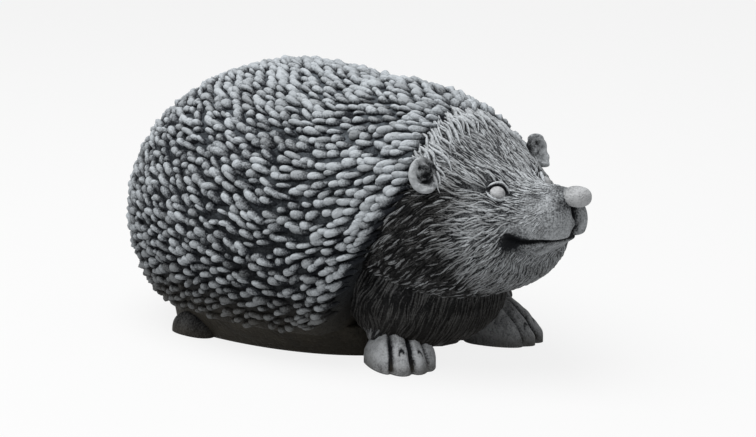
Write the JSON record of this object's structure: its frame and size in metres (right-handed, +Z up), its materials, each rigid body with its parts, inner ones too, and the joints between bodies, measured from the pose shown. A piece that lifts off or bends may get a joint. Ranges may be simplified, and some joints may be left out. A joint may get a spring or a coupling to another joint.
{
  "type": "hedgehog garden figurine",
  "caption": "Cast-stone garden hedgehog standing on belly and paws, with a coat of blunt carved quills, cupped ears, a lifted snout and hairy cheeks; rests on the ground as an ornament.",
  "frame": {"origin": "on the ground, under the middle of the length and width", "axes": "+X towards the nose, +Y to the animal's own left, +Z up"},
  "size_m": [0.3211, 0.184, 0.1575],
  "materials": {
    "quill_stone": "cast stone with a dark wash, rubbed pale on the raised quills",
    "coat_stone": "cast stone, dark wash left in the gaps between the quills",
    "face_stone": "cast stone with fine tooled hair, dark wash in the grooves",
    "smooth_stone": "smooth cast stone, rubbed pale",
    "paw_stone": "cast stone, pale on the toes, brown and dark at the lower edge",
    "belly_stone": "cast stone under a heavy dark brown wash"
  },
  "bodies": {
    "root": {"coat": "coat_stone", "belly": "belly_stone", "chest": "face_stone", "head": "face_stone", "lower_jaw": "face_stone", "upper_lip_left": "face_stone", "upper_lip_right": "face_stone", "nose": "smooth_stone", "eye_left": "smooth_stone", "eye_right": "smooth_stone", "eyelid_left": "face_stone", "eyelid_right": "face_stone", "ear_left": "face_stone", "ear_right": "face_stone", "brow_locks": "face_stone", "foreleg_left": "paw_stone", "foreleg_right": "paw_stone", "forepaw_left": "paw_stone", "forepaw_right": "paw_stone", "toes_left": "paw_stone", "toes_right": "paw_stone", "hind_foot_left": "paw_stone", "hind_foot_right": "paw_stone", "quills_crown": "quill_stone", "quills_left_flank": "quill_stone", "quills_right_flank": "quill_stone", "quills_rump": "quill_stone"}
  },
  "joints": []
}
